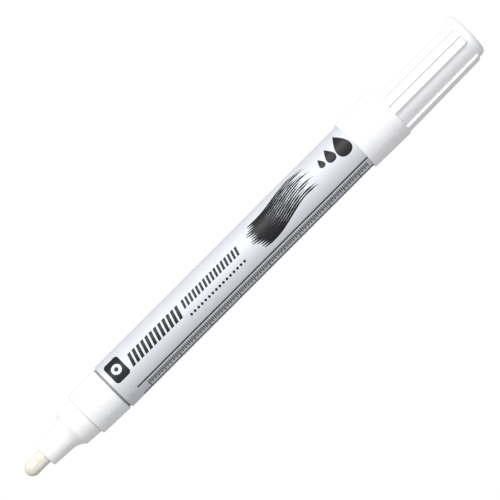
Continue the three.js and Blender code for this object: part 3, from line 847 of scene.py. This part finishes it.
# Cap: a white polypropylene moulding, posted on the barrel's tail. A smooth band leads its grip, in
# which three broad recesses part three lands, each ribbed by three fine grooves. The grooves carry
# painted shade: their base colour is darkened to grey.
BAND_WALL = 0.5 * MM
BAND_FLARE = 0.2 * MM
BAND_LENGTH = 11.8 * MM
LIP_RADIUS = 0.4 * MM
BAND_EDGE = 0.3 * MM
BORE_CONE = 0.6 * MM
GRIP_BORE = 5.55 * MM
RECESS_FLOOR = 6.35 * MM
RECESS_END_FLOOR = 6.06 * MM
RECESS_FILLET = 0.15 * MM
LAND_TOP = 6.97 * MM
LAND_END_TOP = 6.63 * MM
LAND_END_BACK = 1.8 * MM
LAND_CHAMFER = 1.0 * MM
LAND_CHAMFER_FILLET = 0.4 * MM
LAND_CHAMFER_ROWS = 9
LAND_CHAMFER_REACH = 1.3
CAP_END_RADIUS = 1.3 * MM
CAP_END_WALL = 1.1 * MM
LEAD_IN = 0.2 * MM
RECESS_FROM, RECESS_TO = np.radians([-55, -14])
WALL_ARC = np.radians(2.2)
GROOVE_WIDTH = 0.35 * MM
GROOVE_DEPTH = 0.3 * MM
GROOVE_FLOOR = 0.35
# Painted shade: the grey multiplied into the base colour along each fine groove, standing in for the
# shade that falls there.
GROOVE_PAINTED_SHADE = (0.74, 0.74, 0.75)
GRIPS = 3
STRIPS = 4
CAP_ARC_STEPS = 8
ANGLE_DIGITS = 9
BORE_MARGIN = 1.01

band_radius = (cap_high.z - cap_low.z) / 2
mouth_radius = band_radius - BAND_FLARE
band_bore = mouth_radius - BAND_WALL
band_end = cap_mouth + BAND_LENGTH
land_end = cap_end - LAND_END_BACK
bore_floor = cap_end - CAP_END_WALL
chamfer_rows = land_end - np.linspace(0, LAND_CHAMFER_REACH, LAND_CHAMFER_ROWS) * LAND_CHAMFER
outline = filleted(
    [
        (cap_end, 0, 0),
        (cap_end, RECESS_END_FLOOR, CAP_END_RADIUS),
        *[(x, RECESS_END_FLOOR, 0) for x in chamfer_rows],
        (band_end, RECESS_FLOOR, RECESS_FILLET),
        (band_end, band_radius, BAND_EDGE),
        (cap_mouth, mouth_radius, LIP_RADIUS),
        (cap_mouth, band_bore + LEAD_IN, 0),
        (cap_mouth + LEAD_IN, band_bore, 0),
        (cap_mouth + BAND_BORE_DEPTH, band_bore, 0),
        (cap_mouth + BAND_BORE_DEPTH + BORE_CONE, GRIP_BORE, 0),
        (bore_floor, GRIP_BORE, CAP_END_RADIUS / 2),
        (bore_floor, 0, 0),
    ],
    steps=CAP_ARC_STEPS,
)
land_line = filleted(
    [
        (band_end - BAND_EDGE, LAND_TOP, 0),
        (land_end - LAND_CHAMFER, LAND_END_TOP, LAND_CHAMFER_FILLET),
        (land_end, RECESS_END_FLOOR - GROOVE_DEPTH / 2, 0),
    ]
)
grip_pitch = 2 * np.pi / GRIPS
land_span = grip_pitch - (RECESS_TO - RECESS_FROM)
groove_half = GROOVE_WIDTH / LAND_TOP / 2
groove_knots = groove_half * np.array([-1, -GROOVE_FLOOR, GROOVE_FLOOR, 1])
grooves = RECESS_TO + land_span * np.arange(1, STRIPS) / STRIPS
land_knots = np.array([RECESS_TO, RECESS_TO + WALL_ARC, RECESS_FROM + grip_pitch - WALL_ARC])
land_knots = np.append(land_knots, RECESS_FROM + grip_pitch)
one_grip = np.concatenate([land_knots, (grooves[:, None] + groove_knots).ravel()])
cap_turn = np.unique(
    np.concatenate(
        [
            np.linspace(0, 2 * np.pi, SIDES, endpoint=False),
            (one_grip[None] + grip_pitch * np.arange(GRIPS)[:, None]).ravel() % (2 * np.pi),
        ]
    ).round(ANGLE_DIGITS)
)
from_recess = (cap_turn - RECESS_FROM) % grip_pitch + RECESS_FROM
on_land = np.interp(from_recess, land_knots, [0, 1, 1, 0])
nearest = np.abs(from_recess[:, None] - grooves).min(axis=1)
in_groove = np.interp(nearest, groove_knots[2:], [1, 0])
station, core = outline[:, :1], outline[:, 1:]
land_top = np.interp(station, land_line[:, 0], land_line[:, 1], left=0, right=0)
straight_top = np.interp(
    station, [band_end, land_end - LAND_CHAMFER], [LAND_TOP, LAND_END_TOP]
)
land_top = np.minimum(land_top, straight_top - GROOVE_DEPTH * in_groove)
is_outside = core > BORE_MARGIN * GRIP_BORE
cap_radius = core + is_outside * on_land * np.maximum(land_top - core, 0)
cap = turned("cap", outline, turn=cap_turn, radius=cap_radius)
cap_plastic = finish(
    "cap_polypropylene",
    tint=(0.90, 0.905, 0.92),
    shade=(0.875, 0.88, 0.895),
    grain=500,
    roughness=(0.32, 0.40),
)
# Painted shade: a per-point mask is full in the middle of each fine groove on the lands and fades to
# nothing at the groove's edges. It multiplies the cap's base colour by a grey, so that each groove
# shows a thin painted line of shade.
places = np.empty(3 * len(cap.data.vertices))
cap.data.vertices.foreach_get("co", places)
x, y, z = places.reshape(-1, 3).T
turn = (np.arctan2(y, z - axis_z) - RECESS_FROM) % grip_pitch + RECESS_FROM
depth = np.interp(np.abs(turn[:, None] - grooves).min(axis=1), groove_knots[2:], [1, 0])
depth[(x < band_end) | (x > land_end) | (np.hypot(y, z - axis_z) < RECESS_END_FLOOR)] = 0
cap.data.attributes.new("groove_painted_shade", "FLOAT", "POINT").data.foreach_set("value", depth)
# The mask is read in the cap's material and multiplies its base colour, painting the grooves' shade.
tree = cap_plastic.node_tree
groove = tree.nodes.new("ShaderNodeAttribute")
groove.attribute_name = "groove_painted_shade"
groove_shade_mix = tree.nodes.new("ShaderNodeMix")
groove_shade_mix.data_type = "RGBA"
groove_shade_mix.blend_type = "MULTIPLY"
groove_shade_mix.inputs["B"].default_value = (*GROOVE_PAINTED_SHADE, 1)
shader = tree.nodes["Principled BSDF"]
tree.links.new(groove.outputs["Fac"], groove_shade_mix.inputs["Factor"])
tree.links.new(shader.inputs["Base Color"].links[0].from_socket, groove_shade_mix.inputs["A"])
tree.links.new(groove_shade_mix.outputs["Result"], shader.inputs["Base Color"])
cap.data.materials.append(cap_plastic)
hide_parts("cap_shell")
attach(cap, "cap")

# Inner cap: a soft natural polyethylene sleeve pressed into the cap's closed end. It seals on the
# snout when the nib is capped.
LINER_MOUTH = 3.75 * MM
LINER_WALL = 0.95 * MM
LINER_LEAD_IN = 0.4 * MM
LINER_TAPER = 0.35 * MM
LINER_BASE = 0.9 * MM
LINER_FLANGE = 4.5 * MM
LINER_END_FILLET = 0.9 * MM
LINER_EDGE_FILLET = 0.2 * MM
LINER_STEP_FILLET = 0.3 * MM
LINER_LIP_FILLET = 0.1 * MM
LINER_BASE_FILLET = 0.5 * MM

liner_low, liner_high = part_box("inner_cap")
liner_radius = (liner_high.z - liner_low.z) / 2
sleeve_radius = LINER_MOUTH + LINER_WALL
liner = turned(
    "cap_liner",
    filleted(
        [
            (liner_high.x, 0, 0),
            (liner_high.x, liner_radius, LINER_END_FILLET),
            (liner_high.x - LINER_FLANGE, liner_radius, LINER_EDGE_FILLET),
            (liner_high.x - LINER_FLANGE, sleeve_radius, LINER_STEP_FILLET),
            (liner_low.x, sleeve_radius, LINER_EDGE_FILLET),
            (liner_low.x, LINER_MOUTH + LINER_LEAD_IN, LINER_LIP_FILLET),
            (liner_low.x + LINER_LEAD_IN, LINER_MOUTH, LINER_EDGE_FILLET),
            (liner_high.x - LINER_BASE, LINER_MOUTH - LINER_TAPER, LINER_BASE_FILLET),
            (liner_high.x - LINER_BASE, 0, 0),
        ]
    ),
)
liner.data.materials.append(natural_plastic)
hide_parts("inner_cap")
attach(liner, "cap")

# Studio: a white cove that only the camera sees, so that the marker lies on clean white without a
# shadow, an even white fill all round, a small lamp high on the marker's left and a broad one above.
COVE_RADIUS = 4.0
COVE_WHITE = 1.02
COVE_RINGS = 25
COVE_SIDES = 64
FILL = 0.52
LAMP_DISTANCE = 1.0

rise = np.linspace(0, np.pi / 2, COVE_RINGS)
cove_outline = np.concatenate(
    [
        [(0.0, 0.0)],
        np.stack([COVE_RADIUS * np.cos(rise), COVE_RADIUS * np.sin(rise)], axis=-1),
    ]
)
cove_turn = np.linspace(0, 2 * np.pi, COVE_SIDES, endpoint=False)
cove_points = np.stack(
    [
        cove_outline[:, :1] * np.cos(cove_turn),
        cove_outline[:, :1] * np.sin(cove_turn),
        np.broadcast_to(cove_outline[:, 1:], (len(cove_outline), len(cove_turn))),
    ],
    axis=-1,
)
cove = new_piece("white_cove", cove_points, quads(len(cove_outline), len(cove_turn), False, True))
cove_paint = bpy.data.materials.new("cove_white")
cove_paint.use_nodes = True
cove_shader = cove_paint.node_tree.nodes["Principled BSDF"]
cove_shader.inputs["Base Color"].default_value = (0.0, 0.0, 0.0, 1)
cove_shader.inputs["Specular IOR Level"].default_value = 0
cove_shader.inputs["Emission Color"].default_value = (1, 1, 1, 1)
cove_shader.inputs["Emission Strength"].default_value = COVE_WHITE
cove.data.materials.append(cove_paint)
cove.visible_diffuse = False
cove.visible_glossy = False
cove.visible_transmission = False
cove.visible_shadow = False

scene = bpy.context.scene
scene.view_settings.view_transform = "Standard"
scene.world = bpy.data.worlds.new("even_white")
scene.world.use_nodes = True
scene.world.node_tree.nodes["Background"].inputs["Color"].default_value = (1, 1, 1, 1)
scene.world.node_tree.nodes["Background"].inputs["Strength"].default_value = FILL


def soft_lamp(name, power, size, lean):
    """A square lamp that faces the marker's middle, leaning over from straight up towards +Y."""
    lamp = bpy.data.objects.new(name, bpy.data.lights.new(name, "AREA"))
    lamp.data.energy = power
    lamp.data.size = size
    lamp.location = (0, LAMP_DISTANCE * np.sin(lean), axis_z + LAMP_DISTANCE * np.cos(lean))
    lamp.rotation_euler = (-lean, 0, 0)
    scene.collection.objects.link(lamp)


soft_lamp("key_lamp", power=7.5, size=0.25, lean=np.radians(42))
soft_lamp("overhead_lamp", power=2.1, size=1.0, lean=np.radians(10))

# Camera: above the marker, a degree towards the nib from straight up, turned so that the marker runs
# from lower left to upper right.
CAMERA_DISTANCE = 1.0
CAMERA_LEAN = np.radians(1.0)
PICTURE_TURN = np.radians(-45)
FRAME_WIDTH = 118.9 * MM
SENSOR_WIDTH = 36.0
CAMERA_OFFSET = (0.88 * MM, 0.12 * MM)

camera = bpy.data.objects.new("camera", bpy.data.cameras.new("camera"))
camera.data.sensor_width = SENSOR_WIDTH
camera.data.lens = SENSOR_WIDTH * CAMERA_DISTANCE / FRAME_WIDTH
camera.location = (
    CAMERA_OFFSET[0] - CAMERA_DISTANCE * np.sin(CAMERA_LEAN),
    CAMERA_OFFSET[1],
    axis_z + CAMERA_DISTANCE * np.cos(CAMERA_LEAN),
)
upright = Euler((0, 0, PICTURE_TURN)).to_matrix()
leant = Euler((0, -CAMERA_LEAN, 0)).to_matrix()
camera.rotation_euler = (leant @ upright).to_euler()
scene.collection.objects.link(camera)
scene.camera = camera
